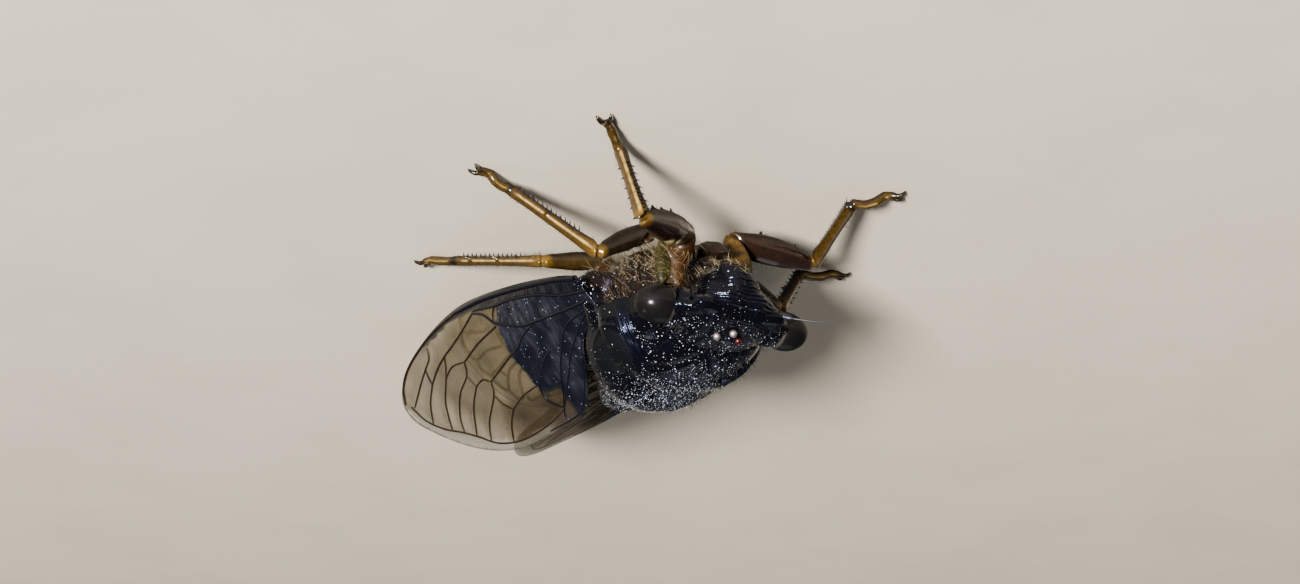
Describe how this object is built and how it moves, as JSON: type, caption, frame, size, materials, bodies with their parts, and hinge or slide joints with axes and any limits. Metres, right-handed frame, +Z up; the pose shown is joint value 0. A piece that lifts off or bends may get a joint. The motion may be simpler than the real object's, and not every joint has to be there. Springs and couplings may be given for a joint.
{
  "type": "cicada model",
  "caption": "Life-size cicada standing with one foreleg reaching out, wings folded roof-like over the body, a still display model of the insect.",
  "frame": {"origin": "on the floor under the middle of the bounding box", "axes": "+X towards the insect's left side, -Y the way it faces, +Z up from the floor it stands on"},
  "size_m": [0.024, 0.0368, 0.0104],
  "materials": {
    "body_black": "glossy black with a blue-violet sheen",
    "eye_brown": "very glossy",
    "antenna_black": "satin",
    "underside_brown": "hairy, dull",
    "chestnut": "glossy",
    "amber": "glossy, translucent",
    "wing": "thin membrane, satin, dark at the base"
  },
  "bodies": {
    "root": {"abdomen": "body_black", "antenna_left": "antenna_black", "antenna_right": "antenna_black", "coxa_left_fore": "amber", "coxa_left_hind": "amber", "coxa_left_mid": "amber", "coxa_right_fore": "amber", "coxa_right_hind": "amber", "coxa_right_mid": "amber", "eye_left": "eye_brown", "eye_right": "eye_brown", "femur_left_fore": "chestnut", "femur_left_hind": "chestnut", "femur_left_mid": "chestnut", "femur_right_fore": "chestnut", "femur_right_hind": "chestnut", "femur_right_mid": "chestnut", "forewing_left": "wing", "forewing_right": "wing", "head": "body_black", "hindwing_left": "wing", "hindwing_right": "wing", "mesonotum": "body_black", "operculum_left": "underside_brown", "operculum_right": "underside_brown", "pronotum": "body_black", "rostrum": "chestnut", "tail": "body_black", "tarsus_left_fore": "amber", "tarsus_left_hind": "amber", "tarsus_left_mid": "amber", "tarsus_right_fore": "amber", "tarsus_right_hind": "amber", "tarsus_right_mid": "amber", "thorax": "underside_brown", "tibia_left_fore": "amber", "tibia_left_hind": "amber", "tibia_left_mid": "amber", "tibia_right_fore": "amber", "tibia_right_hind": "amber", "tibia_right_mid": "amber"}
  },
  "joints": []
}
